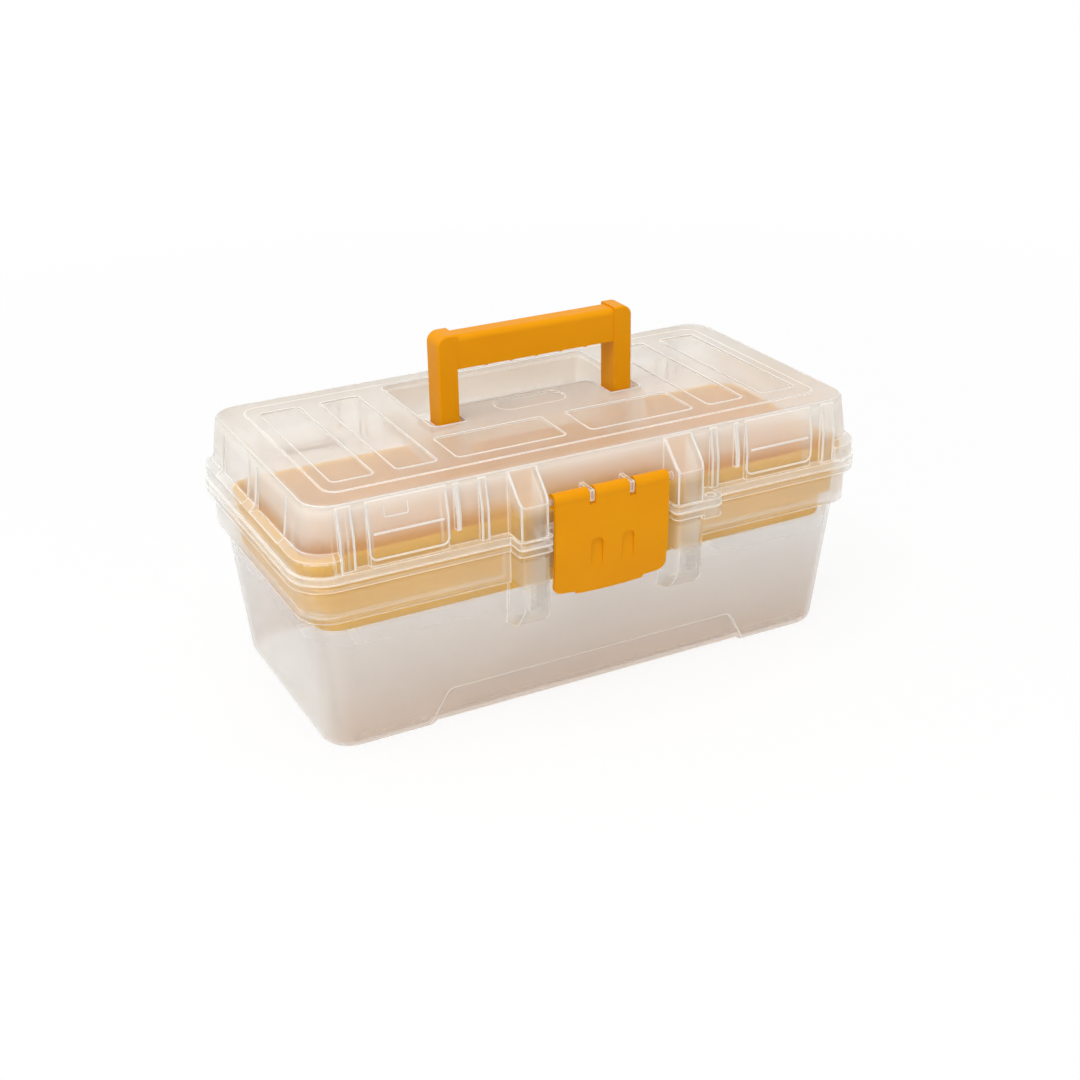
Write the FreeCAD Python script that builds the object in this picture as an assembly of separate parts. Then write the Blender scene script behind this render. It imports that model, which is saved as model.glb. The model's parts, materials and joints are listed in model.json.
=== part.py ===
import FreeCAD, Part
import os
import math

# A translucent carry box for art supplies: a tub, a corrugated lid on rear hinges,
# a tray that lifts out, a handle that folds back into the lid and a front latch.
# Millimetres, +Z up, front towards -Y. The origin is on the floor under the middle of the box.

# Rim where lid and tub meet, and the wall of both mouldings
rim_length = 350.0
rim_width = 176.0
rim_radius = 20.0
wall = 2.2
parting_gap = 0.3

# Tub
tub_height = 108.0
flange_height = 4.0
flange_overhang = 4.0
band_height = 20.0
band_step = 4.0
tub_taper = 7.0
tub_corner_radius = 18.0
bottom_edge_radius = 6.0
inner_edge_chamfer = 2.2
foot_length = 62.0
foot_rise = 4.0
foot_slope = 6.0
arch_height = 23.0
arch_slope = 13.0
arch_corner_radius = 6.0
arch_depth = 0.9

# Latch guard posts on the tub, and the cheeks above them on the lid
post_gap = 78.0
post_width = 17.5
post_reach = 9.5
post_drop = 51.0
post_edge_radius = 3.0
post_lip = 1.5

# Lid
lid_height = 42.0
lip_height = 4.2
lid_band_step = 1.2
lid_ledge_height = 12.5
pillar_foot_height = 3.0
pillar_inset = 5.0
top_inset_x = 9.0
top_inset_y = 5.8
lid_corner_radius = 16.0
top_edge_radius = 4.0
deck_rise = 0.8
deck_border_x = 15.0
deck_border_y = 13.7
deck_radius = 8.0
end_bay_depth = 2.0
end_pillar_width = 12.0
end_corner_pillar = 36.0
front_corner_pillar = 31.0
front_bay_inset = 5.4
front_pillar_inset = 2.6
pillar_bend_height = 22.0
cheek_bend_height = 23.5

# Pillars along the front and rear: distance of each from the middle, and width
narrow_pillar_at = 148.0
narrow_pillar_width = 8.0
wide_pillar_at = 114.0
wide_pillar_width = 44.0
pillar_rib_at = 86.0
pillar_rib_width = 2.6
pillar_rib_bottom = 13.5
inner_pillar_at = 71.0
inner_pillar_width = 4.4
rear_pillar_at = 42.0
rear_pillar_width = 8.0

# Shallow panels in the lid's top
panel_depth = 0.8
panel_radius = 3.0
end_panel_width = 24.0
end_panel_length = 114.0
outer_end_panel_at = 132.0
inner_end_panel_at = 96.0
deck_panel_length = 66.0
deck_panel_width = 32.0
deck_panel_gap = 15.0
deck_panel_at = 42.0
oval_length = 44.0
oval_width = 17.0

# Handle and the trough that it folds into
trough_side_gap = 6.0
trough_front = 12.0
trough_rear = 65.0
trough_depth = 22.0
trough_draft = 1.5
trough_radius = 5.0
tongue_gap = 3.5
tongue_rear = 14.0
handle_width = 122.0
handle_top = 50.0
grip_height = 20.0
leg_width = 11.5
handle_depth = 15.5
handle_corner_radius = 6.0
handle_edge_chamfer = 0.9
grip_edge_radius = 3.5
grip_relief = 1.0
grip_wall = 2.5
grip_rib = 1.6
grip_rib_drop = 0.8
grip_rib_count = 5
pivot_drop = 12.0
pivot_y = 0.5
pivot_behind_face = 10.0
leg_end_drop = 7.0
stub_radius = 3.0
stub_length = 6.0
running_fit = 0.1
boss_gap = 1.2
boss_length = 19.0

# Latch and its rod on the lid
latch_width = 70.0
latch_thickness = 2.2
latch_drop = 54.6
latch_straight = 22.0
latch_lean = 4.2
latch_bow = 2.2
latch_corner_radius = 5.0
latch_tab_width = 42.0
latch_tab_drop = 1.6
latch_crease = 0.2
rod_radius = 2.0
rod_height = 20.8
rod_forward = 3.0
roll_thickness = 2.1
roll_mouth = 2.6
lug_at = 12.3
lug_width = 2.6
lug_clearance = 0.6
hook_width = 56.0
hook_reach = 2.4
hook_height = 4.0
hook_gap = 0.4
groove_at = 9.6
groove_width = 7.5
groove_top = 25.0
groove_height = 20.0
groove_depth = 1.3

# Padlock eye on the right of the latch
eye_at = 63.5
eye_forward = 4.5
eye_tab_radius = 6.5
eye_tab_drop = 2.5
eye_radius = 2.75

# Tray
tray_rim_rise = 9.0
tray_depth = 44.0
tray_wall = 1.8
tray_front_gap = 12.0
tray_rear_gap = 42.0
tray_taper = 4.0
tray_radius = 14.0
tray_side_play = 0.6
tray_lower_step = 4.6
tray_seat_gap = 0.1
tray_lip_height = 5.0
tray_lip = 1.2
divider_below_rim = 2.0
finger_slot_length = 80.0
finger_slot_height = 18.0

# Rear hinges
hinge_at = 100.0
lid_knuckle = 18.0
tub_knuckle = 9.0
knuckle_gap = 0.4
knuckle_radius = 3.6
pin_radius = 1.5
pin_recess = 0.5

# Levels and reaches that follow from the sizes above
half_x = rim_length / 2
half_y = rim_width / 2
flange_z = tub_height - flange_height
ledge_z = flange_z - band_height
wall_inset = flange_overhang + band_step
foot_inset = wall_inset + tub_taper
foot_inner = half_x - foot_inset - foot_length
post_x0 = post_gap / 2
post_x1 = post_x0 + post_width
post_front = half_y + post_reach
post_bottom = tub_height - post_drop
lid_z = tub_height + parting_gap
lip_z = lid_z + lip_height
lid_ledge_z = tub_height + lid_ledge_height
top_z = tub_height + lid_height
border_z = top_z - deck_rise
bay_top_z = border_z - top_edge_radius
pillar_bend_z = tub_height + pillar_bend_height
cheek_bend_z = tub_height + cheek_bend_height
trough_z = top_z - trough_depth
trough_width = handle_width + 2 * trough_side_gap
tongue_width = handle_width - 2 * (leg_width + tongue_gap)
pivot_z = top_z - pivot_drop
rod_y = -(half_y + rod_forward)
rod_z = tub_height + rod_height
roll_radius = rod_radius + running_fit + roll_thickness
latch_front = rod_y - roll_radius
hinge_y = post_front + post_lip - knuckle_radius
hinge_z = tub_height + parting_gap / 2
tray_rim = tub_height + tray_rim_rise
tray_bottom = tray_rim - tray_depth
tray_front = half_y - tray_front_gap
tray_width = rim_width - tray_front_gap - tray_rear_gap
over = 1.0


def vec(x, y, z):
    return FreeCAD.Vector(x, y, z)


def box(x0, x1, y0, y1, z0, z1):
    return Part.makeBox(x1 - x0, y1 - y0, z1 - z0, vec(x0, y0, z0))


def rod(x0, x1, y, z, radius):
    return Part.makeCylinder(radius, x1 - x0, vec(x0, y, z), vec(1, 0, 0))


def rounded(x0, x1, y0, y1, radius, z):
    # Level rectangle with round corners
    cut = radius * (1 - math.sqrt(0.5))
    corners = [(x1, y0, -1, 1), (x1, y1, -1, -1), (x0, y1, 1, -1), (x0, y0, 1, 1)]
    arcs = []
    for index, (x, y, sx, sy) in enumerate(corners):
        along_x = vec(x + sx * radius, y, z)
        along_y = vec(x, y + sy * radius, z)
        middle = vec(x + sx * cut, y + sy * cut, z)
        ends = (along_x, along_y) if index % 2 == 0 else (along_y, along_x)
        arcs.append((ends[0], middle, ends[1]))
    edges = []
    for arc, following in zip(arcs, arcs[1:] + arcs[:1]):
        edges.append(Part.Arc(*arc).toShape())
        edges.append(Part.LineSegment(arc[2], following[0]).toShape())
    return Part.Wire(edges)


def ring(inset_x, inset_y, radius, z):
    # Outline that lies a set distance inside the rim
    x = half_x - inset_x
    y = half_y - inset_y
    return rounded(-x, x, -y, y, radius, z)


def raised(wire, height):
    return Part.Face(wire).extrude(vec(0, 0, height))


def loft(*wires):
    return Part.makeLoft(list(wires), True, True)


def tapered(low, high, z0, z1, radius):
    # Block with leaning walls and round corners, from its half sizes at the bottom and at the top
    reach = max(low + high) + over
    along = profile_y([(-low[0], z0), (low[0], z0), (high[0], z1), (-high[0], z1)], -reach, reach)
    across = profile_x([(-low[1], z0), (low[1], z0), (high[1], z1), (-high[1], z1)], -reach, reach)
    block = along.common(across)
    corners = [e for e in block.Edges if e.BoundBox.ZLength > (z1 - z0) / 2]
    return block.makeFillet(radius, corners)


def profile_x(points, x0, x1):
    # Outline of (y, z) points drawn along X
    corners = [vec(x0, y, z) for y, z in points]
    return Part.Face(Part.makePolygon(corners + corners[:1])).extrude(vec(x1 - x0, 0, 0))


def profile_y(points, y0, y1):
    # Outline of (x, z) points drawn along Y
    corners = [vec(x, y0, z) for x, z in points]
    return Part.Face(Part.makePolygon(corners + corners[:1])).extrude(vec(0, y1 - y0, 0))


def flipped_x(shape):
    return shape.mirror(vec(0, 0, 0), vec(1, 0, 0))


def flipped_y(shape):
    return shape.mirror(vec(0, 0, 0), vec(0, 1, 0))


def both_ends(shape):
    return [shape, flipped_x(shape)]


def level_edges(solid, z):
    return [e for e in solid.Edges if abs(e.BoundBox.ZMin - z) < 0.01 and abs(e.BoundBox.ZMax - z) < 0.01]


def round_level_edges(solid, z, radius):
    # Rounds the edges that lie in one level plane
    return solid.makeFillet(radius, level_edges(solid, z))


def round_edges_along(solid, axis, radius, wanted):
    # Rounds the straight edges along one axis whose middle passes the test
    chosen = []
    for edge in solid.Edges:
        size = [edge.BoundBox.XLength, edge.BoundBox.YLength, edge.BoundBox.ZLength]
        length = size.pop(axis)
        if length > 0.01 > max(size) and wanted(edge.CenterOfMass):
            chosen.append(edge)
    return solid.makeFillet(radius, chosen)


def tub_wall(inset, z0, z1):
    # Leaning tub body, a set distance inside the outer face of its wall
    lean = tub_taper / ledge_z
    low = [half - foot_inset - inset + lean * z0 for half in (half_x, half_y)]
    high = [half - foot_inset - inset + lean * z1 for half in (half_x, half_y)]
    return tapered(low, high, z0, z1, tub_corner_radius - inset)


def tub_form(skin):
    # Outer form of the tub, or its inside when skin is the wall
    body = tub_wall(skin, skin, tub_height + skin)
    if skin:
        body = body.makeChamfer(inner_edge_chamfer, level_edges(body, skin))
    else:
        body = round_level_edges(body, 0, bottom_edge_radius)
    rise = profile_y([(-foot_inner - foot_slope - skin, 0), (-foot_inner - skin, foot_rise + skin),
                      (foot_inner + skin, foot_rise + skin), (foot_inner + foot_slope + skin, 0)],
                     -half_y, half_y)
    inset = flange_overhang + skin
    band = raised(ring(inset, inset, tub_corner_radius - skin, ledge_z + skin), tub_height - ledge_z)
    notch = box(-post_x1 - skin, post_x1 + skin, -half_y, -half_y + wall_inset + skin,
                ledge_z, tub_height + wall + over)
    return body.cut(rise).fuse([band.cut(notch)] + both_ends(post_form(skin)))


def post_form(skin):
    # One guard post beside the latch, hollow towards the tub, with a quarter-round foot
    front = -post_front + skin
    back = -half_y + foot_inset
    low = post_bottom + skin
    plan = rounded(post_x0 + skin, post_x1 - skin, front, back, post_edge_radius - skin, low)
    column = raised(plan, tub_height + skin - low)
    centre_y = -half_y + wall_inset
    radius = centre_y - front
    bend = low + radius

    def at(y, z):
        return vec(post_x0, y, z)
    slant = radius * math.sqrt(0.5)
    arc = Part.Arc(at(front, bend), at(centre_y - slant, bend - slant), at(centre_y, low)).toShape()
    outside = Part.makePolygon([at(centre_y, low), at(centre_y, low - over), at(front - over, low - over),
                                at(front - over, bend), at(front, bend)])
    corner = Part.Face(Part.Wire([arc] + outside.Edges)).extrude(vec(post_width, 0, 0))
    return column.cut(corner)


def arch_recess():
    # Shallow recess over the raised middle of the floor, on the front and rear walls
    half_low = foot_inner + foot_slope
    half_high = half_low - arch_slope
    arch = profile_y([(-half_low, 0), (-half_high, arch_height), (half_high, arch_height), (half_low, 0)],
                     -half_y, half_y)
    arch = round_edges_along(arch, 1, arch_corner_radius, lambda middle: middle.z > arch_height - 0.01)
    return arch.cut(tub_wall(arch_depth, 0, ledge_z))


def rim_lip(z0, z1):
    # Lip that runs round the rim and round the fronts of the two posts
    lip = raised(ring(0, 0, rim_radius, z0), z1 - z0)
    nose = rounded(post_x0 - post_lip, post_x1 + post_lip, -post_front - post_lip, -half_y + wall_inset,
                   post_edge_radius, z0)
    return lip.fuse(both_ends(raised(nose, z1 - z0)))


def eye_tab(z0, z1):
    # Tab beside the right post, with the eye for a padlock
    y = -half_y - eye_forward
    tab = Part.makeCylinder(eye_tab_radius, z1 - z0, vec(eye_at, y, z0))
    return tab.fuse(box(post_x1 - over, eye_at, y - eye_tab_radius, y + eye_tab_radius, z0, z1))


def eye_hole():
    low = flange_z - eye_tab_drop - over
    return Part.makeCylinder(eye_radius, lip_z + over - low, vec(eye_at, -half_y - eye_forward, low))


def knuckle(middle, width, z0, z1):
    # Hinge barrel with the arm that joins it to the rim, bored for the pin
    x0 = middle - width / 2
    x1 = middle + width / 2
    barrel = rod(x0, x1, hinge_y, hinge_z, knuckle_radius)
    arm = box(x0, x1, half_y - wall, hinge_y, z0, z1)
    return barrel.fuse(arm).cut(rod(x0 - over, x1 + over, hinge_y, hinge_z, pin_radius + running_fit))


def tub():
    shell = tub_form(0).cut(arch_recess())
    shell = shell.fuse([rim_lip(flange_z, tub_height), eye_tab(flange_z - eye_tab_drop, tub_height)])
    shell = shell.cut([tub_form(wall), eye_hole()])
    offset = lid_knuckle / 2 + knuckle_gap + tub_knuckle / 2
    arms = []
    for side in (-1, 1):
        for step in (-offset, offset):
            arms.append(knuckle(side * hinge_at + step, tub_knuckle, flange_z, tub_height))
    return shell.fuse(arms).removeSplitter()


def hinge_pin(side):
    half = lid_knuckle / 2 + knuckle_gap + tub_knuckle - pin_recess
    return rod(side * hinge_at - half, side * hinge_at + half, hinge_y, hinge_z, pin_radius)


def end_bay(near, far, skin):
    # Set-back bay between two pillars on the right end of the lid
    slope = (top_inset_x - pillar_inset) / (border_z - lid_ledge_z)
    low_z = lid_ledge_z - skin
    low_x = half_x - pillar_inset - end_bay_depth - skin
    high_x = half_x - pillar_inset - slope * (bay_top_z - lid_ledge_z) - skin
    points = [(low_x, low_z), (high_x, bay_top_z), (half_x + over, bay_top_z), (half_x + over, low_z)]
    return profile_y(points, near - skin, far + skin)


def front_bay(skin):
    # Set-back front wall that the front pillars stand on
    half = half_x - front_corner_pillar + narrow_pillar_width + skin
    low_z = lip_z - skin
    low_y = -half_y + front_bay_inset + skin
    high_y = -half_y + top_inset_y + skin
    points = [(low_y, low_z), (high_y, bay_top_z), (-half_y - over, bay_top_z), (-half_y - over, low_z)]
    return profile_x(points, -half, half)


def front_pillar(at, width, skin, low_z):
    # Pillar that slopes out from the top edge, bends, and runs down to its foot
    root = -half_y + wall_inset + wall
    face = -half_y + front_pillar_inset + skin
    top = -half_y + top_inset_y + skin
    high_z = border_z - top_edge_radius / 2 - skin
    points = [(root, low_z), (face, low_z), (face, pillar_bend_z - skin), (top, high_z), (root, high_z)]
    return profile_x(points, at - width / 2 + skin, at + width / 2 - skin)


def cheek(skin):
    # Cheek beside the latch, standing on the tub's post
    root = -half_y + wall_inset + wall
    face = -post_front + skin
    top = -half_y + top_inset_y + skin
    high_z = border_z - top_edge_radius / 2 - skin
    points = [(root, lid_z - skin), (face, lid_z - skin), (face, cheek_bend_z - skin), (top, high_z), (root, high_z)]
    solid = profile_x(points, post_x0 + skin, post_x1 - skin)
    return round_edges_along(solid, 2, post_edge_radius, lambda middle: middle.y < face + 0.01)


def lid_form(skin):
    # Outer form of the corrugated lid, or its inside when skin is the wall
    bottom = lid_z - skin
    lip = raised(ring(skin, skin, rim_radius - skin, bottom), lip_height)
    inset = lid_band_step + skin
    band = raised(ring(inset, inset, rim_radius - inset, bottom), lid_ledge_z - lid_z)
    low = [half - pillar_inset - skin for half in (half_x, half_y)]
    high = [half_x - top_inset_x - skin, half_y - top_inset_y - skin]
    upper = tapered(low, high, lid_ledge_z - skin, border_z - skin, lid_corner_radius - skin)
    if skin == 0:
        upper = round_level_edges(upper, border_z, top_edge_radius)
    inner = pillar_inset + skin
    foot = loft(ring(inset, inset, rim_radius - inset, lid_ledge_z - skin),
                ring(inner, inner, lid_corner_radius - skin, lid_ledge_z + pillar_foot_height - skin))
    bay_near = end_pillar_width / 2
    bay_far = half_y - end_corner_pillar
    end_bays = both_ends(end_bay(bay_near, bay_far, skin)) + both_ends(end_bay(-bay_far, -bay_near, skin))
    form = lip.fuse([band, upper.fuse(foot).cut(end_bays)])
    form = form.cut([front_bay(skin), flipped_y(front_bay(skin))])
    front = [(narrow_pillar_at, narrow_pillar_width), (wide_pillar_at, wide_pillar_width)]
    pillars = [front_pillar(at, width, skin, lip_z - skin) for at, width in front]
    pillars.extend([flipped_y(pillar) for pillar in pillars])
    pillars.append(flipped_y(front_pillar(rear_pillar_at, rear_pillar_width, skin, lip_z - skin)))
    pillars.append(cheek(skin))
    added = []
    for pillar in pillars:
        added.extend(both_ends(pillar))
    return form.fuse(added)


def thin_pillars():
    # Solid rib and thin pillar between the wide pillar and the cheek, front and rear
    rib = front_pillar(pillar_rib_at, pillar_rib_width, 0, tub_height + pillar_rib_bottom)
    thin = front_pillar(inner_pillar_at, inner_pillar_width, 0, lip_z)
    return both_ends(rib) + both_ends(thin) + both_ends(flipped_y(rib)) + both_ends(flipped_y(thin))


def tongue(skin):
    # Part of the deck that reaches back between the handle's legs
    half = tongue_width / 2 - skin
    return raised(rounded(-half, half, -trough_front - 2 * trough_radius, tongue_rear - skin,
                          trough_radius - skin, trough_z - wall - over),
                  trough_depth + wall + over - skin)


def trough(skin):
    # Space that the folded handle lies in, or that space with its wall round it
    def outline(grow, z):
        half = trough_width / 2 + grow
        return rounded(-half, half, -trough_front - grow, trough_rear + grow, trough_radius + grow, z)
    high_z = top_z + over - 2 * skin
    return loft(outline(skin - trough_draft, trough_z - skin), outline(skin, high_z)).cut(tongue(skin))


def pivot_boss():
    # Pad on the trough's right side that carries the handle's stub
    x0 = handle_width / 2 + boss_gap
    return box(x0, trough_width / 2 + wall, -trough_front, -trough_front + boss_length + over,
               trough_z, top_z - deck_rise - boss_gap)


def top_panels():
    # Shallow panels and the oval recess in the lid's top
    z = top_z - panel_depth
    cuts = []
    for at in (outer_end_panel_at, inner_end_panel_at):
        wire = rounded(at - end_panel_width / 2, at + end_panel_width / 2,
                       -end_panel_length / 2, end_panel_length / 2, panel_radius, z)
        cuts.extend(both_ends(raised(wire, panel_depth + over)))
    x0 = deck_panel_gap / 2
    wire = rounded(x0, x0 + deck_panel_length, -deck_panel_at - deck_panel_width / 2,
                   -deck_panel_at + deck_panel_width / 2, panel_radius, z)
    cuts.extend(both_ends(raised(wire, panel_depth + over)))
    middle = (tongue_rear - trough_front) / 2
    wire = rounded(-oval_length / 2, oval_length / 2, middle - oval_width / 2, middle + oval_width / 2,
                   oval_width * 0.49, z)
    cuts.append(raised(wire, panel_depth + over))
    return cuts


def latch_rod():
    # Rod between the cheeks that the latch turns on, with two lugs that hold its middle
    pieces = [rod(-post_x0 - wall / 2, post_x0 + wall / 2, rod_y, rod_z, rod_radius)]
    root = -half_y + top_inset_y + wall / 2
    for side in (-1, 1):
        x0 = side * lug_at - lug_width / 2
        x1 = side * lug_at + lug_width / 2
        lug = rod_radius + roll_thickness / 2
        pieces.append(box(x0, x1, rod_y - lug, root, rod_z - lug, rod_z + lug))
    return pieces


def lid():
    deck = raised(ring(top_inset_x + deck_border_x, top_inset_y + deck_border_y, deck_radius, border_z - wall / 2),
                  deck_rise + wall / 2)
    shell = lid_form(0).fuse([rim_lip(lid_z, lip_z), eye_tab(lid_z, lip_z), deck] + thin_pillars())
    inner = lid_form(wall)
    shell = shell.cut([inner, eye_hole()] + top_panels())
    shell = shell.fuse(trough(wall)).cut(trough(0))
    shell = shell.fuse(both_ends(pivot_boss()) + latch_rod())
    stub_hole = rod(handle_width / 2, trough_width / 2 + 2 * wall + over, pivot_y, pivot_z, stub_radius + running_fit)
    shell = shell.cut(both_ends(stub_hole))
    knuckles = [knuckle(side * hinge_at, lid_knuckle, lid_z, lid_z + knuckle_radius) for side in (-1, 1)]
    return shell.fuse(knuckles).removeSplitter()


def handle():
    half = handle_width / 2
    inner = half - leg_width
    front = pivot_y - pivot_behind_face
    back = front + handle_depth
    top = top_z + handle_top
    under = top - grip_height
    leg = box(inner, half, front, back, pivot_z, top)
    leg = round_edges_along(leg, 1, handle_corner_radius, lambda m: m.z > top - 0.01 and m.x > half - 0.01)
    edges = [e for e in leg.Edges if e.BoundBox.YLength < 0.01 and e.CenterOfMass.x > inner + 0.01
             and e.CenterOfMass.z > pivot_z + 0.01]
    leg = leg.makeChamfer(handle_edge_chamfer, edges)
    leg = leg.fuse([leg_end(), rod(half, half + stub_length, pivot_y, pivot_z, stub_radius)]).removeSplitter()
    face = front + grip_relief / 2
    rear = back - grip_relief / 2
    crest = top - grip_relief
    grip = box(-inner - over, inner + over, face, rear, under, crest)
    grip = round_edges_along(grip, 0, grip_edge_radius, lambda m: m.z > crest - 0.01)
    hollow = inner - grip_wall
    grip = grip.cut(box(-hollow, hollow, face + grip_wall, rear - grip_wall, under - over, crest - grip_edge_radius))
    ribs = []
    pitch = 2 * hollow / (grip_rib_count + 1)
    for index in range(grip_rib_count):
        x = -hollow + pitch * (index + 1)
        ribs.append(box(x - grip_rib / 2, x + grip_rib / 2, face + grip_wall / 4, rear - grip_wall / 4,
                        under - grip_rib_drop, crest - grip_edge_radius + grip_wall / 4))
    return grip.fuse(ribs).removeSplitter().fuse(both_ends(leg))


def leg_end():
    # Rounded lower end of the right leg, below the pivot
    x0 = handle_width / 2 - leg_width
    front = pivot_y - pivot_behind_face
    start = vec(x0, front, pivot_z)
    middle = vec(x0, pivot_y, pivot_z - leg_end_drop)
    end = vec(x0, front + handle_depth, pivot_z)
    outline = Part.Wire([Part.Arc(start, middle, end).toShape(), Part.LineSegment(end, start).toShape()])
    return Part.Face(outline).extrude(vec(leg_width, 0, 0))


def latch_section(y, low_z):
    # Front or back line of the latch: straight below the roll, then curved in towards the tub
    bend_z = rod_z - latch_straight
    drop = bend_z - low_z
    radius = (latch_lean ** 2 + drop ** 2) / (2 * latch_lean)
    halfway = radius - math.sqrt(radius ** 2 - drop ** 2 / 4)
    x = -latch_width / 2
    straight = Part.LineSegment(vec(x, y, rod_z), vec(x, y, bend_z)).toShape()
    curved = Part.Arc(vec(x, y, bend_z), vec(x, y + halfway, bend_z - drop / 2),
                      vec(x, y + latch_lean, low_z)).toShape()
    return straight, curved


def latch():
    half = latch_width / 2
    bottom = rod_z - latch_drop
    low_z = bottom - latch_bow - latch_tab_drop - over
    face = latch_front + latch_crease
    front = latch_section(face, low_z)
    back = latch_section(face + latch_thickness, low_z)
    head = Part.LineSegment(vec(-half, face, rod_z), vec(-half, face + latch_thickness, rod_z)).toShape()
    foot = Part.LineSegment(vec(-half, face + latch_lean, low_z),
                            vec(-half, face + latch_lean + latch_thickness, low_z)).toShape()
    outline = Part.Wire(Part.__sortEdges__(list(front + back) + [head, foot]))
    plate = Part.Face(outline).extrude(vec(latch_width, 0, 0))
    roll = rod(-half, half, rod_y, rod_z, roll_radius)
    bore = rod(-half - over, half + over, rod_y, rod_z, rod_radius + running_fit)
    mouth = box(-half - over, half + over, rod_y, rod_y + roll_radius + over,
                rod_z - roll_mouth / 2, rod_z + roll_mouth / 2)
    shape = plate.fuse(roll).cut([bore, mouth])
    hook_z = flange_z - hook_gap
    tip = -half_y + hook_reach
    root = face + latch_thickness / 2
    hook = profile_x([(root, hook_z - 2 * hook_height), (root, hook_z), (tip, hook_z),
                      (tip, hook_z - hook_height / 2)], -hook_width / 2, hook_width / 2)
    shape = shape.fuse(hook).common(latch_outline(half, bottom))
    notch = lug_width / 2 + lug_clearance
    cuts = []
    for side in (-1, 1):
        cuts.append(box(side * lug_at - notch, side * lug_at + notch, latch_front - over,
                        rod_y + roll_radius + over, rod_z - roll_radius - lug_clearance, rod_z + roll_radius + over))
        groove = box(side * groove_at - groove_width / 2, side * groove_at + groove_width / 2, latch_front - over,
                     face + groove_depth, rod_z - groove_top - groove_height, rod_z - groove_top)
        cuts.append(round_edges_along(groove, 1, groove_width * 0.45, lambda middle: True))
    return shape.cut(cuts).removeSplitter()


def latch_outline(half, bottom):
    # Front outline of the latch: straight sides, a bowed bottom edge and a pull tab in its middle
    top = rod_z + roll_radius + over

    def bowed(half_width, z):
        y = latch_front - over
        bow = latch_bow * (half_width / half) ** 2
        sides = Part.makePolygon([vec(half_width, y, z), vec(half_width, y, top),
                                  vec(-half_width, y, top), vec(-half_width, y, z)])
        edge = Part.Arc(vec(-half_width, y, z), vec(0, y, z - bow), vec(half_width, y, z)).toShape()
        return Part.Face(Part.Wire(sides.Edges + [edge])).extrude(vec(0, half_y, 0))
    solid = round_edges_along(bowed(half, bottom), 1, latch_corner_radius, lambda middle: middle.z < bottom + over)
    tab = bowed(latch_tab_width / 2, bottom - latch_bow * 0.64 - latch_tab_drop)
    tab = round_edges_along(tab, 1, latch_tab_drop / 2, lambda middle: middle.z < bottom)
    return solid.fuse(tab)


def tray_level(z, half, shrink, skin):
    # Tray outline at one height: the front and rear close in by shrink
    y0 = -tray_front + shrink + skin
    y1 = -tray_front + tray_width - shrink - skin
    return rounded(-half + skin, half - skin, y0, y1, tray_radius - skin, z)


def tray_form(skin):
    # Lower trough of the tray, and the wider upper part that sits on the tub's end ledges
    seat = ledge_z + wall + tray_seat_gap
    half_high = half_x - flange_overhang - wall - tray_side_play
    half_low = half_x - wall_inset - wall - tray_lower_step
    seat_shrink = tray_taper * (tray_rim - seat) / (tray_rim - tray_bottom)
    lower = loft(tray_level(tray_bottom + skin, half_low, tray_taper, skin),
                 tray_level(seat + skin, half_low, seat_shrink, skin))
    upper = loft(tray_level(seat + skin, half_high, seat_shrink, skin),
                 tray_level(tray_rim + skin, half_high, 0, skin))
    return lower.fuse(upper)


def tray():
    half = half_x - flange_overhang - wall - tray_side_play
    lip = raised(tray_level(tray_rim - tray_lip_height, half, -tray_lip, -tray_lip), tray_lip_height)
    outer = tray_form(0).common(box(-half_x, half_x, -half_y, half_y, 0, tray_rim))
    shell = outer.fuse(lip).cut(tray_form(tray_wall))
    middle = -tray_front + tray_width / 2
    divider = box(-half_x, half_x, middle - tray_wall / 2, middle + tray_wall / 2,
                  tray_bottom + tray_wall / 2, tray_rim - divider_below_rim)
    slot_top = tray_rim - divider_below_rim - finger_slot_height / 2
    slot = box(-finger_slot_length / 2, finger_slot_length / 2, middle - tray_wall, middle + tray_wall,
               slot_top - finger_slot_height, slot_top)
    slot = round_edges_along(slot, 1, finger_slot_height * 0.45, lambda middle: True)
    divider = divider.cut(slot).common(outer)
    return shell.fuse(divider).removeSplitter()


os.makedirs("parts", exist_ok=True)
nodes = {"tub": tub(), "lid": lid(), "tray": tray(), "handle": handle(), "latch": latch(),
         "hinge_pin_left": hinge_pin(-1), "hinge_pin_right": hinge_pin(1)}
for name, shape in nodes.items():
    print(name, shape.isValid(), len(shape.Solids), len(shape.Faces), round(shape.Volume))
    shape.exportStep("parts/" + name + ".step")
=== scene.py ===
import json
import math
import bpy
from mathutils import Matrix, Vector


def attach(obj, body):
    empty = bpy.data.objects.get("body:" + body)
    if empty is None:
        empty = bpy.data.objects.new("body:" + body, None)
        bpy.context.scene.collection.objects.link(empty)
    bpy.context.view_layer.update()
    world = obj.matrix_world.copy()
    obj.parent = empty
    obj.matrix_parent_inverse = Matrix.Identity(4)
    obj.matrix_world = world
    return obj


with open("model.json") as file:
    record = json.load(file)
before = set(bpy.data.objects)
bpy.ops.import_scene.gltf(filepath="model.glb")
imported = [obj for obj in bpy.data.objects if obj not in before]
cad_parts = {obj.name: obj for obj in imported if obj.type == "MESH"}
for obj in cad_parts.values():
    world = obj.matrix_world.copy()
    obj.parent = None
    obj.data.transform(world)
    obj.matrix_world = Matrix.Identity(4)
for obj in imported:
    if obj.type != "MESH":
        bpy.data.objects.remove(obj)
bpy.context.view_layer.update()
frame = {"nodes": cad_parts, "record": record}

print("frame loaded:", ", ".join(sorted(frame["nodes"])))

mm = 0.001


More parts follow.
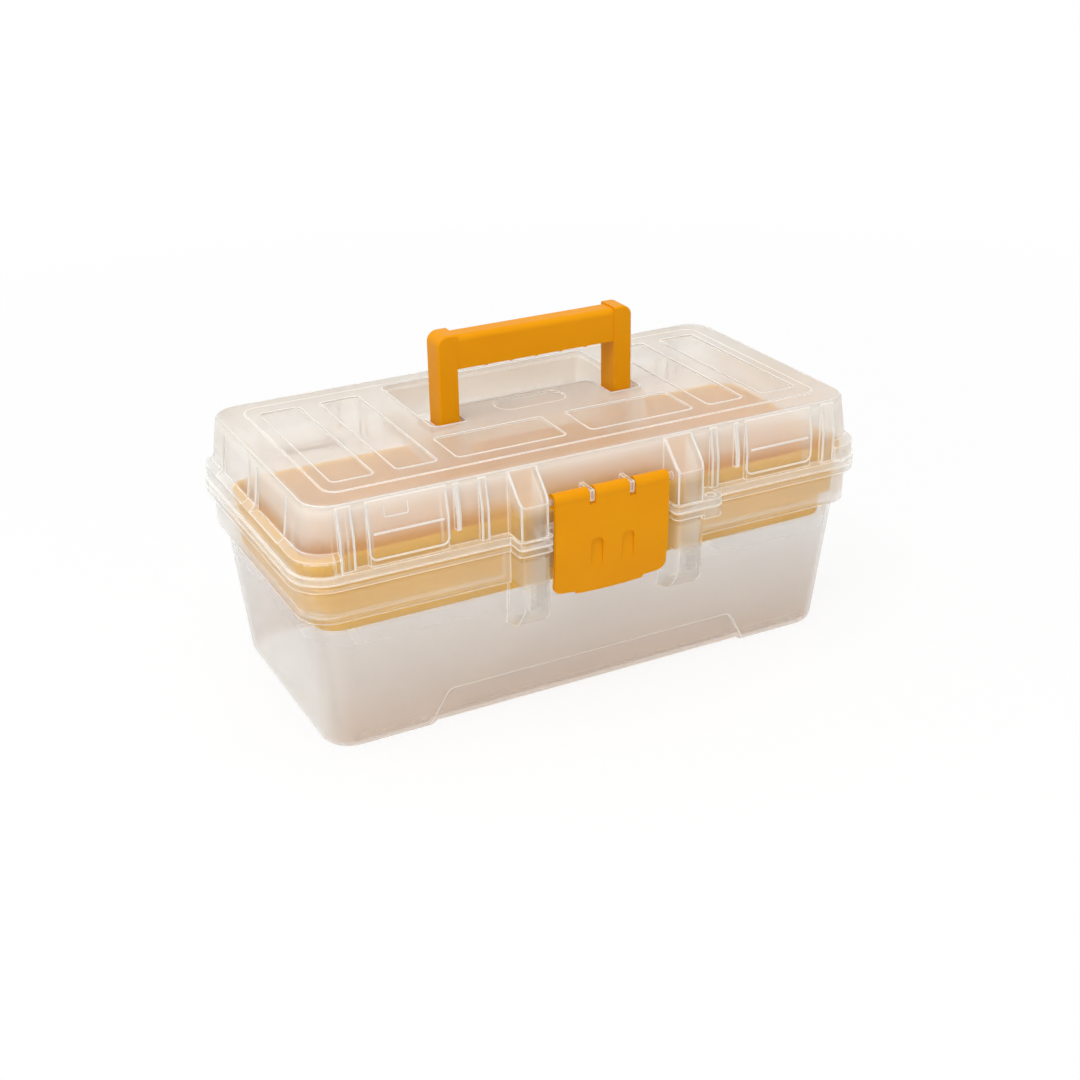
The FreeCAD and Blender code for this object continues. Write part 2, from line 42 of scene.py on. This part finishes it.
def linearColour(hexCode):
    # sRGB hex to the linear colour that the shaders take
    parts = [int(hexCode[i:i + 2], 16) / 255 for i in (1, 3, 5)]
    return [p / 12.92 if p <= 0.04045 else ((p + 0.055) / 1.055) ** 2.4 for p in parts] + [1.0]


def addNode(tree, kind, settings=None, links=None):
    # settings: a property by its name, or a socket's value by ("in", name)
    # links: the output that feeds each named socket
    node = tree.nodes.new(kind)
    for key, value in (settings or {}).items():
        if isinstance(key, tuple):
            node.inputs[key[1]].default_value = value
        else:
            setattr(node, key, value)
    for name, output in (links or {}).items():
        tree.links.new(output, node.inputs[name])
    return node


def newMaterial(name):
    material = bpy.data.materials.new(name)
    material.use_nodes = True
    tree = material.node_tree
    coords = addNode(tree, "ShaderNodeTexCoord").outputs
    return material, tree, tree.nodes["Principled BSDF"], coords


frostedPp = {
    "pale": "#FCFAF6", "warm": "#F8F2E8",  # natural polypropylene is a little warm
    "low": "#BC8A58", "lowFromMm": 84.0, "lowToMm": 2.0,  # painted warm shade: the long walls grow darker and warmer towards the floor, as shade and the tray's thrown-back yellow light make them
    "white": "#FEFDFB",  # painted highlight that a folded edge turns to, partly the milkier look of the thicker plastic there
    "ior": 1.49,
    "topMm": 150.0,
    "hazeAt": [  # height in mm, and the share of light that a standing wall stops there; partly the cloudier thick bands, partly painted light that makes each band lighter or darker as it is lit
        (0, 0.40), (35, 0.37), (66, 0.27), (84.5, 0.18), (86.5, 0.37), (99.5, 0.37), (101.5, 0.25),
        (106, 0.30), (112, 0.27), (124, 0.32), (133, 0.56), (140, 0.62), (147, 0.78), (150, 0.78)],
    "levelHaze": 0.38,  # what a level face stops
    "edgeHaze": 0.50, "edgeMm": 1.7,  # what a folded edge adds, partly painted highlight, and how far it reaches
    "edgeStarts": 0.997, "edgeFull": 0.82,  # how well the rounded normal still matches the flat one
    "edgeSamples": 6,
    "clear": 0.30, "clearPasses": 0.78,  # a clear wall passes on what it stops,
    "hazy": 0.75, "hazyPasses": 0.15,    # a hazy one sends it back white
    "shade": 0.35,  # share of the haze that throws a shadow
    "smooth": 0.34, "rough": 0.46,
    "grainMm": 0.9,  # spark-eroded mould face, drawn coarser than the real 0.1 mm so that it shows
    "grainBump": 0.10, "grainDeepMm": 0.05,
    "flowMm": 38.0,  # slow waves from the melt flow
    "flowBump": 0.06, "flowDeepMm": 0.6,
}


def makeFrostedPolypropylene():
    # injection moulded natural PP: milky, see-through at close range, soft highlights
    spec = frostedPp
    material, tree, shader, coords = newMaterial("frostedPolypropylene")
    place = coords["Object"]
    where = addNode(tree, "ShaderNodeSeparateXYZ", None, {"Vector": place}).outputs
    facing = addNode(tree, "ShaderNodeSeparateXYZ", None, {"Vector": coords["Normal"]}).outputs

    # folded edges, which get a painted highlight: where the rounded normal leaves the flat one
    rounded = addNode(tree, "ShaderNodeBevel",
                      {"samples": spec["edgeSamples"], ("in", "Radius"): spec["edgeMm"] * mm})
    flat = addNode(tree, "ShaderNodeNewGeometry")
    match = addNode(tree, "ShaderNodeVectorMath", {"operation": "DOT_PRODUCT"},
                    {0: rounded.outputs["Normal"], 1: flat.outputs["Normal"]})
    edge = addNode(tree, "ShaderNodeMapRange",
                   {("in", "From Min"): spec["edgeStarts"], ("in", "From Max"): spec["edgeFull"]},
                   {"Value": match.outputs["Value"]}).outputs["Result"]

    # colour: slow flow marks, painted warm shade low on the long walls, painted highlight at the edges
    # (partly the milkier thick plastic there)
    flow = addNode(tree, "ShaderNodeTexNoise", {("in", "Scale"): 1 / (spec["flowMm"] * mm)},
                   {"Vector": place})
    tint = addNode(tree, "ShaderNodeMix",
                   {"data_type": "RGBA", ("in", "A"): linearColour(spec["pale"]),
                    ("in", "B"): linearColour(spec["warm"])},
                   {"Factor": flow.outputs["Fac"]})
    # painted warm shade, on the front and rear walls only, growing towards the floor
    longWall = addNode(tree, "ShaderNodeMath", {"operation": "ABSOLUTE"}, {0: facing["Y"]})
    low = addNode(tree, "ShaderNodeMapRange",
                  {("in", "From Min"): spec["lowFromMm"] * mm, ("in", "From Max"): spec["lowToMm"] * mm},
                  {"Value": where["Z"], "To Max": longWall.outputs[0]})
    paintedWarmShade = addNode(tree, "ShaderNodeMix", {"data_type": "RGBA", ("in", "B"): linearColour(spec["low"])},
                     {"Factor": low.outputs["Result"], "A": tint.outputs["Result"]})
    # painted highlight along the folded edges, partly the milkier thick plastic there
    paintedEdgeHighlight = addNode(tree, "ShaderNodeMix", {"data_type": "RGBA", ("in", "B"): linearColour(spec["white"])},
                       {"Factor": edge, "A": paintedWarmShade.outputs["Result"]})
    tree.links.new(paintedEdgeHighlight.outputs["Result"], shader.inputs["Base Color"])

    # haze by height on standing walls (partly painted light), one haze on level ones, more at the edges
    # (partly painted highlight)
    share = addNode(tree, "ShaderNodeMapRange", {("in", "From Max"): spec["topMm"] * mm},
                    {"Value": where["Z"]})
    ramp = addNode(tree, "ShaderNodeValToRGB", None, {"Fac": share.outputs["Result"]})
    stops = ramp.color_ramp.elements
    stops.remove(stops[1])
    for at, haze in spec["hazeAt"]:
        stop = stops.new(at / spec["topMm"]) if at else stops[0]
        stop.color = (haze, haze, haze, 1)
    level = addNode(tree, "ShaderNodeMath", {"operation": "ABSOLUTE"}, {0: facing["Z"]})
    body = addNode(tree, "ShaderNodeMix", {("in", "B"): spec["levelHaze"]},
                   {"Factor": level.outputs[0], "A": ramp.outputs["Color"]})
    stopped = addNode(tree, "ShaderNodeMath",
                      {"operation": "MULTIPLY_ADD", "use_clamp": True, ("in", 1): spec["edgeHaze"]},
                      {0: edge, 2: body.outputs["Result"]})
    passed = addNode(tree, "ShaderNodeMapRange",
                     {("in", "From Min"): spec["clear"], ("in", "From Max"): spec["hazy"],
                      ("in", "To Min"): spec["clearPasses"], ("in", "To Max"): spec["hazyPasses"]},
                     {"Value": stopped.outputs[0]})
    tree.links.new(passed.outputs["Result"], shader.inputs["Transmission Weight"])

    # lamps reach the inside through the wall, as they do through real thin PP
    rays = addNode(tree, "ShaderNodeLightPath")
    thinned = addNode(tree, "ShaderNodeMapRange",
                      {("in", "To Min"): 1.0, ("in", "To Max"): spec["shade"]},
                      {"Value": rays.outputs["Is Shadow Ray"]})
    seenHaze = addNode(tree, "ShaderNodeMath", {"operation": "MULTIPLY"},
                       {0: stopped.outputs[0], 1: thinned.outputs["Result"]})
    tree.links.new(seenHaze.outputs[0], shader.inputs["Alpha"])

    # fine grain in the gloss, over the slow waves
    grain = addNode(tree, "ShaderNodeTexNoise", {("in", "Scale"): 1 / (spec["grainMm"] * mm)},
                    {"Vector": place})
    rough = addNode(tree, "ShaderNodeMapRange",
                    {("in", "To Min"): spec["smooth"], ("in", "To Max"): spec["rough"]},
                    {"Value": grain.outputs["Fac"]})
    tree.links.new(rough.outputs["Result"], shader.inputs["Roughness"])
    waves = addNode(tree, "ShaderNodeBump",
                    {("in", "Strength"): spec["flowBump"], ("in", "Distance"): spec["flowDeepMm"] * mm},
                    {"Height": flow.outputs["Fac"]})
    bump = addNode(tree, "ShaderNodeBump",
                   {("in", "Strength"): spec["grainBump"], ("in", "Distance"): spec["grainDeepMm"] * mm},
                   {"Height": grain.outputs["Fac"], "Normal": waves.outputs["Normal"]})
    tree.links.new(bump.outputs["Normal"], shader.inputs["Normal"])
    shader.inputs["IOR"].default_value = spec["ior"]
    return material


yellowPp = {
    "body": "#E69906", "deep": "#E09002", "transmission": 0.0,
    "ior": 1.49, "gloss": 0.08, "smooth": 0.34, "rough": 0.46,
    "grainMm": 0.8,  # fine moulded texture, drawn coarser than the real one so that it shows
    "grainBump": 0.18, "grainDeepMm": 0.06,
    "cloudMm": 26.0, "cloudDetail": 3.0,  # slow change of shade from the colour masterbatch
}
# the thin tray lets light through; its paler body colour is painted light, the glow of the light that passes
# through it
trayPp = dict(yellowPp, body="#F8C21E", deep="#F2B816", transmission=0.25)


def makeYellowPolypropylene(name, spec):
    # coloured PP, moulded: satin, fine even grain, and a glow where the wall is thin
    material, tree, shader, coords = newMaterial(name)
    cloud = addNode(tree, "ShaderNodeTexNoise",
                    {("in", "Scale"): 1 / (spec["cloudMm"] * mm), ("in", "Detail"): spec["cloudDetail"]},
                    {"Vector": coords["Object"]})
    tint = addNode(tree, "ShaderNodeMix",
                   {"data_type": "RGBA", ("in", "A"): linearColour(spec["body"]),
                    ("in", "B"): linearColour(spec["deep"])},
                   {"Factor": cloud.outputs["Fac"]})
    tree.links.new(tint.outputs["Result"], shader.inputs["Base Color"])
    grain = addNode(tree, "ShaderNodeTexNoise", {("in", "Scale"): 1 / (spec["grainMm"] * mm)},
                    {"Vector": coords["Object"]})
    rough = addNode(tree, "ShaderNodeMapRange",
                    {("in", "To Min"): spec["smooth"], ("in", "To Max"): spec["rough"]},
                    {"Value": grain.outputs["Fac"]})
    tree.links.new(rough.outputs["Result"], shader.inputs["Roughness"])
    bump = addNode(tree, "ShaderNodeBump",
                   {("in", "Strength"): spec["grainBump"], ("in", "Distance"): spec["grainDeepMm"] * mm},
                   {"Height": grain.outputs["Fac"]})
    tree.links.new(bump.outputs["Normal"], shader.inputs["Normal"])
    shader.inputs["IOR"].default_value = spec["ior"]
    shader.inputs["Specular IOR Level"].default_value = spec["gloss"]
    shader.inputs["Transmission Weight"].default_value = spec["transmission"]
    return material


steelWire = {
    "colour": "#A9ABAE", "rough": 0.32,
    "lineMm": 0.35, "along": 0.04,  # width of the drawing lines, and their stretch along the pin
    "lineBump": 0.25, "lineDeepMm": 0.03,
}


def makeDrawnSteelWire():
    # drawn wire: fine lines along the pull
    spec = steelWire
    material, tree, shader, coords = newMaterial("drawnSteelWire")
    stretched = addNode(tree, "ShaderNodeMapping", {("in", "Scale"): (spec["along"], 1.0, 1.0)},
                        {"Vector": coords["Object"]})
    lines = addNode(tree, "ShaderNodeTexNoise", {("in", "Scale"): 1 / (spec["lineMm"] * mm)},
                    {"Vector": stretched.outputs["Vector"]})
    bump = addNode(tree, "ShaderNodeBump",
                   {("in", "Strength"): spec["lineBump"], ("in", "Distance"): spec["lineDeepMm"] * mm},
                   {"Height": lines.outputs["Fac"]})
    tree.links.new(bump.outputs["Normal"], shader.inputs["Normal"])
    shader.inputs["Base Color"].default_value = linearColour(spec["colour"])
    shader.inputs["Metallic"].default_value = 1.0
    shader.inputs["Roughness"].default_value = spec["rough"]
    return material


finishes = {
    "clear_polypropylene": makeFrostedPolypropylene(),
    "yellow_polypropylene": makeYellowPolypropylene("yellowPolypropylene", yellowPp),
    "steel_wire": makeDrawnSteelWire(),
}
trayFinish = makeYellowPolypropylene("thinYellowPolypropylene", trayPp)
for part in frame["record"]["subparts"]:
    slots = frame["nodes"][part["node"]].data.materials
    slots.clear()
    slots.append(trayFinish if part["node"] == "tray" else finishes[part["material_slot"]])


milkyHighlightPp = {
    "colour": "#FCFBF8", "haze": 0.72, "transmission": 0.35, "rough": 0.28, "ior": 1.49,
    "grainMm": 0.7, "grainBump": 0.12, "grainDeepMm": 0.05,
}


def makeMilkyHighlightPolypropylene():
    # the same natural PP where it is thick, and painted highlight: narrow white beads for the bright lines
    # along the folds
    spec = milkyHighlightPp
    material, tree, shader, coords = newMaterial("milkyHighlightPolypropylene")
    grain = addNode(tree, "ShaderNodeTexNoise", {("in", "Scale"): 1 / (spec["grainMm"] * mm)},
                    {"Vector": coords["Object"]})
    bump = addNode(tree, "ShaderNodeBump",
                   {("in", "Strength"): spec["grainBump"], ("in", "Distance"): spec["grainDeepMm"] * mm},
                   {"Height": grain.outputs["Fac"]})
    tree.links.new(bump.outputs["Normal"], shader.inputs["Normal"])
    shader.inputs["Base Color"].default_value = linearColour(spec["colour"])
    shader.inputs["Alpha"].default_value = spec["haze"]
    shader.inputs["Transmission Weight"].default_value = spec["transmission"]
    shader.inputs["Roughness"].default_value = spec["rough"]
    shader.inputs["IOR"].default_value = spec["ior"]
    return material


beadFacets = {"round": 10, "corner": 6}  # facets round a bead, and steps in a rounded corner


def makeBeadTree():
    # lays a round bead along the edges of a wire mesh, with its corners rounded
    tree = bpy.data.node_groups.new("beadAlongPath", "GeometryNodeTree")
    for name, kind in (("Path", "Geometry"), ("Bead Radius", "Float"),
                       ("Corner Radius", "Float"), ("Finish", "Material")):
        tree.interface.new_socket(name, in_out="INPUT", socket_type="NodeSocket" + kind)
    tree.interface.new_socket("Bead", in_out="OUTPUT", socket_type="NodeSocketGeometry")
    given = addNode(tree, "NodeGroupInput").outputs
    line = addNode(tree, "GeometryNodeMeshToCurve", None, {"Mesh": given["Path"]})
    bent = addNode(tree, "GeometryNodeFilletCurve",
                   {"mode": "POLY", ("in", "Count"): beadFacets["corner"], ("in", "Limit Radius"): True},
                   {"Curve": line.outputs["Curve"], "Radius": given["Corner Radius"]})
    ring = addNode(tree, "GeometryNodeCurvePrimitiveCircle", {("in", "Resolution"): beadFacets["round"]},
                   {"Radius": given["Bead Radius"]})
    bead = addNode(tree, "GeometryNodeCurveToMesh", {("in", "Fill Caps"): True},
                   {"Curve": bent.outputs["Curve"], "Profile Curve": ring.outputs["Curve"]})
    soft = addNode(tree, "GeometryNodeSetShadeSmooth", None, {"Geometry": bead.outputs["Mesh"]})
    real = addNode(tree, "GeometryNodeRealizeInstances", None, {"Geometry": soft.outputs["Geometry"]})
    done = addNode(tree, "GeometryNodeSetMaterial", None,
                   {"Geometry": real.outputs["Geometry"], "Material": given["Finish"]})
    addNode(tree, "NodeGroupOutput", None, {"Bead": done.outputs["Geometry"]})
    return tree


beadTree = makeBeadTree()
# the beads' hazier white finish is painted highlight along the folds, partly the milkier look of thick
# plastic
beadHighlightFinish = makeMilkyHighlightPolypropylene()


def layBeads(name, paths, spec):
    # paths: lists of points in mm, each with True where it closes
    points, edges = [], []
    for path, closed in paths:
        first = len(points)
        points.extend([(x * mm, y * mm, z * mm) for x, y, z in path])
        edges.extend([(first + i, first + i + 1) for i in range(len(path) - 1)])
        if closed:
            edges.append((first + len(path) - 1, first))
    wire = bpy.data.meshes.new(name)
    wire.from_pydata(points, edges, [])
    piece = bpy.data.objects.new(name, wire)
    bpy.context.scene.collection.objects.link(piece)
    modifier = piece.modifiers.new("bead", "NODES")
    modifier.node_group = beadTree
    values = {"Bead Radius": spec["radius"] * mm, "Corner Radius": spec["corner"] * mm, "Finish": beadHighlightFinish}
    for socket in beadTree.interface.items_tree:
        if socket.name in values:
            modifier[socket.identifier] = values[socket.name]
    made = bpy.data.meshes.new_from_object(piece.evaluated_get(bpy.context.evaluated_depsgraph_get()))
    piece.modifiers.clear()
    piece.data = made
    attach(piece, "lid")


def rectangle(x0, x1, y0, y1, z):
    # a level path that closes
    return [(x0, y0, z), (x1, y0, z), (x1, y1, z), (x0, y1, z)], True


def mirrored(path, sx, sy):
    # a path that stays open, on the side that the signs give
    return [(x * sx, y * sy, z) for x, y, z in path], False


def onFourQuarters(paths):
    return [mirrored(path, sx, sy) for path in paths for sx in (-1, 1) for sy in (-1, 1)]


# sizes of the beads are in mm, on the lid's own moulding
panelBeads = {
    "topZ": 150.0, "radius": 0.5, "corner": 3.0,
    "endAt": (132.0, 96.0), "endWidth": 24.0, "endLength": 114.0,
    "deckFrom": 7.5, "deckTo": 73.5, "deckFront": -58.0, "deckRear": -26.0,
}


def makePanelBeads():
    # outlines of the shallow panels: two at each end, two on the deck before the handle
    spec = panelBeads
    half, reach = spec["endWidth"] / 2, spec["endLength"] / 2
    panels = []
    for side in (-1, 1):
        for at in spec["endAt"]:
            panels.append(rectangle(side * at - half, side * at + half, -reach, reach, spec["topZ"]))
        near, far = sorted((side * spec["deckFrom"], side * spec["deckTo"]))
        panels.append(rectangle(near, far, spec["deckFront"], spec["deckRear"], spec["topZ"]))
    layBeads("panelBeads", panels, spec)


troughBeads = {
    "topZ": 150.0, "radius": 0.5, "corner": 5.0,
    "half": 67.0, "front": -12.0, "rear": 65.0, "tongueHalf": 46.0, "tongueRear": 14.0,
}


def makeTroughBeads():
    # rim of the handle's trough, and of the tongue that reaches into it
    spec = troughBeads
    outer, inner, z = spec["half"], spec["tongueHalf"], spec["topZ"]
    front, rear, tip = spec["front"], spec["rear"], spec["tongueRear"]
    rim = [(-inner, front, z), (-outer, front, z), (-outer, rear, z),
           (outer, rear, z), (outer, front, z), (inner, front, z)]
    tongue = [(-inner, front, z), (-inner, tip, z), (inner, tip, z), (inner, front, z)]
    layBeads("troughBeads", [(rim, False), (tongue, False)], spec)


crestBead = {"halfX": 164.8, "halfY": 81.0, "z": 148.0, "radius": 0.55, "corner": 15.0}


def makeCrestBead():
    # the fold all round the lid's top
    spec = crestBead
    x, y = spec["halfX"], spec["halfY"]
    layBeads("crestBead", [rectangle(-x, x, -y, y, spec["z"])], spec)


lidWall = {"faceY": -85.4, "footZ": 112.6, "bendZ": 130.0, "topZ": 146.0, "topY": -82.4}
pillarWindows = {"at": 114.0, "half": 22.0, "lowZ": 115.6, "radius": 0.6, "corner": 4.0}
pillarEdges = {"at": (144.4, 151.6, 69.2, 72.8), "radius": 0.7, "corner": 2.0}
pillarRibs = {"at": 86.0, "lowZ": 122.0, "radius": 1.1, "corner": 2.0}
pillarBars = {"at": 114.0, "half": 19.5, "radius": 0.7, "corner": 0.0}
pillarCatch = {"at": 120.0, "half": 6.5, "highZ": 143.5, "lowZ": 137.5, "radius": 0.45, "corner": 1.0}


def onWall(x, z):
    # the long front wall stands upright up to the bend and leans in above it
    rise = max(0.0, z - lidWall["bendZ"]) / (lidWall["topZ"] - lidWall["bendZ"])
    return x, lidWall["faceY"] + rise * (lidWall["topY"] - lidWall["faceY"]), z


def downWall(x, lowZ):
    return [onWall(x, z) for z in (lidWall["topZ"], lidWall["bendZ"], lowZ)]


def makePillarBeads():
    # a window and a bar on each wide pillar, folds beside the narrow ones, a rib between, and one catch
    left, right = (pillarWindows["at"] + side * pillarWindows["half"] for side in (-1, 1))
    window = downWall(left, pillarWindows["lowZ"]) + downWall(right, pillarWindows["lowZ"])[::-1]
    layBeads("pillarWindows", onFourQuarters([window]), pillarWindows)
    edges = [downWall(x, lidWall["footZ"]) for x in pillarEdges["at"]]
    layBeads("pillarEdges", onFourQuarters(edges), pillarEdges)
    rib = downWall(pillarRibs["at"], pillarRibs["lowZ"])
    layBeads("pillarRibs", onFourQuarters([rib]), pillarRibs)
    bar = [onWall(pillarBars["at"] + side * pillarBars["half"], lidWall["bendZ"]) for side in (-1, 1)]
    layBeads("pillarBars", onFourQuarters([bar]), pillarBars)
    spec = pillarCatch
    near, far = spec["at"] - spec["half"], spec["at"] + spec["half"]
    catch = [onWall(near, spec["highZ"]), onWall(near, spec["lowZ"]),
             onWall(far, spec["lowZ"]), onWall(far, spec["highZ"])]
    layBeads("pillarCatch", [mirrored(catch, -1, 1)], spec)  # only on the left front pillar


cheekEdges = {
    "sides": ((56.2, 55.5), (39.8, 40.4)),  # x on the slope, then on the rounded corner below it
    "top": (-82.6, 146.8), "bend": (-94.6, 134.5), "face": (-96.5, 132.4),  # y, z
    "radius": 0.7, "corner": 2.0,
}


def makeCheekEdges():
    # folds of the two cheeks beside the latch
    spec = cheekEdges
    folds = []
    for slopeX, cornerX in spec["sides"]:
        path = [(slopeX, *spec["top"]), (slopeX, *spec["bend"]), (cornerX, *spec["face"]),
                (cornerX, spec["face"][0], lidWall["footZ"])]
        folds.extend([mirrored(path, sx, 1) for sx in (-1, 1)])
    layBeads("cheekEdges", folds, spec)


endEdges = {
    "at": (6.0, 52.0), "low": (169.4, 124.5), "high": (166.6, 145.0),  # y; then x, z
    "radius": 0.7, "corner": 0.0,
}


def makeEndEdges():
    # upright folds on the lid's two ends
    spec = endEdges
    folds = [[(x, y, z) for x, z in (spec["low"], spec["high"])] for y in spec["at"]]
    layBeads("endEdges", onFourQuarters(folds), spec)


makePanelBeads()
makeTroughBeads()
makeCrestBead()
makePillarBeads()
makeCheekEdges()
makeEndEdges()
print("beads laid on the lid")


photoView = {  # fitted to the box's edges in the photograph
    "azimuth": -27.14, "elevation": 25.11, "roll": -0.99,
    "target": (4.26, 0.0, 60.45), "distance": 979.09,  # mm
    "focalPx": 1635.92, "framePx": 1080.0,
    "clip": (0.05, 30.0),  # metres
}


def makeCamera():
    spec = photoView
    az, el, roll = (math.radians(spec[k]) for k in ("azimuth", "elevation", "roll"))
    back = Vector((math.sin(az) * math.cos(el), -math.cos(az) * math.cos(el), math.sin(el)))
    right = (-back).cross(Vector((0, 0, 1))).normalized()
    up = right.cross(-back)
    tiltedRight = right * math.cos(roll) + up * math.sin(roll)
    tiltedUp = up * math.cos(roll) - right * math.sin(roll)
    lens = bpy.data.cameras.new("photoCamera")
    lens.lens = lens.sensor_width * spec["focalPx"] / spec["framePx"]
    lens.clip_start, lens.clip_end = spec["clip"]
    camera = bpy.data.objects.new("photoCamera", lens)
    place = (Vector(spec["target"]) + back * spec["distance"]) * mm
    camera.matrix_world = Matrix((
        (tiltedRight.x, tiltedUp.x, back.x, place.x),
        (tiltedRight.y, tiltedUp.y, back.y, place.y),
        (tiltedRight.z, tiltedUp.z, back.z, place.z),
        (0, 0, 0, 1)))
    bpy.context.scene.collection.objects.link(camera)
    bpy.context.scene.camera = camera


makeCamera()
print("camera set")


studio = {
    "white": "#FFFFFF", "skyLight": 0.60,
    "floorColour": "#F4F4F4", "floorRough": 0.9, "floorHalf": 6.0, "floorBelow": 0.0002,  # metres
    "floorGlow": 0.86,  # share of plain white that the viewer sees in the floor near the box
    "glowFrom": 0.35, "glowTo": 1.1,  # metres from the box over which it becomes plain white
    "lampsAimAt": (0.0, 0.0, 0.08),
    "lamps": [  # name, place, size in metres, watts
        ("overheadSoftbox", (-0.3, -0.2, 1.7), 1.6, 13.0),
        ("leftSoftbox", (-1.6, -0.9, 0.9), 1.2, 4.5),
        ("frontFill", (0.5, -1.9, 0.8), 1.4, 2.5),
        ("sparkle", (-0.9, -0.6, 1.5), 0.22, 4.0),
    ],
}


def seenRays(tree):
    # 1 for rays that the viewer sees straight, in a gloss or through the clear plastic
    path = addNode(tree, "ShaderNodeLightPath")
    gloss = addNode(tree, "ShaderNodeMath", {"operation": "MAXIMUM"},
                    {0: path.outputs["Is Camera Ray"], 1: path.outputs["Is Glossy Ray"]})
    return addNode(tree, "ShaderNodeMath", {"operation": "MAXIMUM"},
                   {0: gloss.outputs[0], 1: path.outputs["Is Transmission Ray"]}).outputs[0]


def makeSky():
    # lights the box at a plain level, and looks plain white
    spec = studio
    world = bpy.data.worlds.new("paleStudio")
    world.use_nodes = True
    bpy.context.scene.world = world
    tree = world.node_tree
    tree.nodes.clear()
    white = linearColour(spec["white"])
    lit = addNode(tree, "ShaderNodeBackground",
                  {("in", "Color"): white, ("in", "Strength"): spec["skyLight"]})
    seen = addNode(tree, "ShaderNodeBackground", {("in", "Color"): white, ("in", "Strength"): 1.0})
    mix = addNode(tree, "ShaderNodeMixShader", None,
                  {0: seenRays(tree), 1: lit.outputs[0], 2: seen.outputs[0]})
    addNode(tree, "ShaderNodeOutputWorld", None, {"Surface": mix.outputs[0]})


def makeFloor():
    # pale paper that keeps the box's shadow and fades to plain white further out
    spec = studio
    half, low = spec["floorHalf"], -spec["floorBelow"]
    mesh = bpy.data.meshes.new("floor")
    mesh.from_pydata([(-half, -half, low), (half, -half, low), (half, half, low), (-half, half, low)],
                     [], [(0, 1, 2, 3)])
    floor = bpy.data.objects.new("floor", mesh)
    bpy.context.scene.collection.objects.link(floor)
    material, tree, shader, coords = newMaterial("palePaper")
    shader.inputs["Base Color"].default_value = linearColour(spec["floorColour"])
    shader.inputs["Roughness"].default_value = spec["floorRough"]
    shader.inputs["Specular IOR Level"].default_value = 0.0
    white = addNode(tree, "ShaderNodeEmission", {("in", "Strength"): 1.0})
    away = addNode(tree, "ShaderNodeVectorMath", {"operation": "LENGTH"}, {0: coords["Object"]})
    glow = addNode(tree, "ShaderNodeMapRange",
                   {("in", "From Min"): spec["glowFrom"], ("in", "From Max"): spec["glowTo"],
                    ("in", "To Min"): spec["floorGlow"]}, {"Value": away.outputs["Value"]})
    share = addNode(tree, "ShaderNodeMath", {"operation": "MULTIPLY"},
                    {0: seenRays(tree), 1: glow.outputs["Result"]})
    paper = addNode(tree, "ShaderNodeMixShader", None,
                    {0: share.outputs[0], 1: shader.outputs[0], 2: white.outputs[0]})
    tree.links.new(paper.outputs[0], tree.nodes["Material Output"].inputs["Surface"])
    mesh.materials.append(material)


def makeLamps():
    for name, place, size, watts in studio["lamps"]:
        light = bpy.data.lights.new(name, "AREA")
        light.shape = "DISK"
        light.size = size
        light.energy = watts
        lamp = bpy.data.objects.new(name, light)
        lamp.location = place
        aim = Vector(studio["lampsAimAt"]) - Vector(place)
        lamp.rotation_euler = aim.to_track_quat("-Z", "Y").to_euler()
        bpy.context.scene.collection.objects.link(lamp)


makeSky()
makeFloor()
makeLamps()
bpy.context.scene.view_settings.view_transform = "Standard"
print("studio lit")
